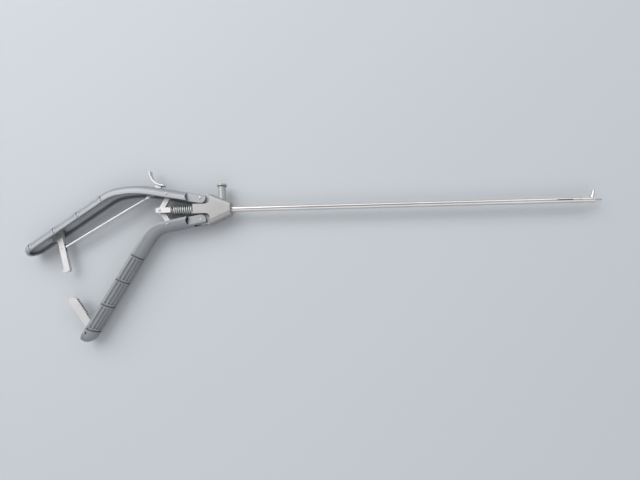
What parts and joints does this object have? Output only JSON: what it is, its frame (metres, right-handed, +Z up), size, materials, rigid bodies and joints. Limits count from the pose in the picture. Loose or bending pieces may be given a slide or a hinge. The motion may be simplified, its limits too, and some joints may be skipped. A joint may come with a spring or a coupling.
{
  "type": "laparoscopic needle holder",
  "caption": "Laparoscopic needle holder: slim shaft with a hinged jaw, two hollow handles in a V, toggle links with a return spring, ratchet hook with thumb release, and a flush port.",
  "frame": {"origin": "on the shaft axis in the front face of the body block", "axes": "+X along the shaft to the jaw tip, +Y towards the flush port and the upper handle, +Z up when it lies on the flat sides of its handles"},
  "size_m": [0.5186, 0.1521, 0.0176],
  "materials": {
    "body_steel": "bead blasted",
    "upper_handle_steel": "bead blasted, matte",
    "lower_handle_steel": "bead blasted, matte",
    "tube_steel": "ground, bright",
    "jaw_steel": "satin",
    "port_steel": "turned, bright",
    "bright_steel": "ground satin",
    "spring_steel": "drawn wire",
    "pin_steel": "turned",
    "carbide": "ground, fine crosswise ridges",
    "seal_rubber": "moulded"
  },
  "bodies": {
    "frame": {"body_block": "body_steel", "shaft_tube": "tube_steel", "fixed_jaw": "jaw_steel", "fixed_jaw_insert": "carbide", "jaw_pivot_pin": "pin_steel", "flush_port": "port_steel", "rod_seal": "seal_rubber", "shaft_set_screw": "pin_steel"},
    "yoke": {"yoke": "bright_steel", "yoke_pin": "pin_steel", "return_spring": "spring_steel", "overload_spring": "spring_steel"},
    "jaw_rod": {"drive_rod": "bright_steel"},
    "upper_handle": {"upper_handle_shell": "upper_handle_steel", "upper_pivot_pin": "pin_steel", "upper_link_pin": "pin_steel", "leaf_spring": "bright_steel", "leaf_spring_screw": "pin_steel", "pawl_pivot_pin": "pin_steel"},
    "lower_handle": {"lower_handle_shell": "lower_handle_steel", "lower_pivot_pin": "pin_steel", "lower_link_pin": "pin_steel", "ratchet_rack": "bright_steel", "rack_rivets": "pin_steel"},
    "upper_link": {"upper_link": "bright_steel"},
    "lower_link": {"lower_link": "bright_steel"},
    "moving_jaw": {"moving_jaw": "jaw_steel", "moving_jaw_insert": "carbide", "jaw_crank_pin": "pin_steel"},
    "release_lever": {"thumb_lever": "bright_steel", "lever_rod_pin": "pin_steel"},
    "release_rod": {"release_rod": "bright_steel"},
    "pawl": {"ratchet_pawl": "bright_steel", "pawl_rod_pin": "pin_steel"}
  },
  "joints": [
    {"name": "upper_handle_squeeze", "type": "hinge", "parent": "frame", "child": "upper_handle", "pos_m": [-0.0262, 0.0097, 0], "axis": [0, 0, 1], "range_deg": [0, 10.5], "stiffness_Nm_per_rad": 2, "springref_deg": -14.32},
    {"name": "lower_handle_squeeze", "type": "hinge", "parent": "frame", "child": "lower_handle", "pos_m": [-0.0262, -0.0097, 0], "axis": [0, 0, 1], "range_deg": [-10.5, 0]},
    {"name": "yoke_slide", "type": "slide", "parent": "frame", "child": "yoke", "axis": [1, 0, 0], "range_m": [-0.00605, 0], "deforming": ["return_spring", "overload_spring"]},
    {"name": "upper_link_turn", "type": "hinge", "parent": "yoke", "child": "upper_link", "pos_m": [-0.06329, 0, 0], "axis": [0, 0, 1], "range_deg": [-28.6, 0]},
    {"name": "lower_link_turn", "type": "hinge", "parent": "yoke", "child": "lower_link", "pos_m": [-0.06329, 0, 0], "axis": [0, 0, 1], "range_deg": [0, 28.6]},
    {"name": "jaw_rod_slide", "type": "slide", "parent": "frame", "child": "jaw_rod", "axis": [1, 0, 0], "range_m": [-0.00185, 0]},
    {"name": "jaw_turn", "type": "hinge", "parent": "frame", "child": "moving_jaw", "pos_m": [0.3253, 0, 0], "axis": [0, 0, 1], "range_deg": [-75, 0]},
    {"name": "release_slide", "type": "slide", "parent": "upper_handle", "child": "release_lever", "axis": [0.9833, -0.1822, 0], "range_m": [0, 0.004], "stiffness_N_per_m": 1500, "springref_m": -0.002},
    {"name": "release_rod_turn", "type": "hinge", "parent": "release_lever", "child": "release_rod", "pos_m": [-0.07374, 0.01332, 0], "axis": [0, 0, 1], "range_deg": [-1.1, 0]},
    {"name": "pawl_turn", "type": "hinge", "parent": "upper_handle", "child": "pawl", "pos_m": [-0.15502, -0.0166, 0], "axis": [0, 0, 1], "range_deg": [0, 12.3], "deforming": ["leaf_spring"]}
  ],
  "couplings": [
    {"joint": "lower_handle_squeeze", "follows": "upper_handle_squeeze", "ratio": -1},
    {"joint": "yoke_slide", "follows": "upper_handle_squeeze", "m_per_rad": -0.03293},
    {"joint": "upper_link_turn", "follows": "upper_handle_squeeze", "ratio": -2.718},
    {"joint": "lower_link_turn", "follows": "upper_handle_squeeze", "ratio": 2.718},
    {"joint": "jaw_rod_slide", "follows": "upper_handle_squeeze", "m_per_rad": -0.01},
    {"joint": "jaw_turn", "follows": "upper_handle_squeeze", "ratio": -7.1429},
    {"joint": "release_rod_turn", "follows": "release_slide", "rad_per_m": -4.693},
    {"joint": "pawl_turn", "follows": "release_slide", "rad_per_m": 53.24}
  ]
}
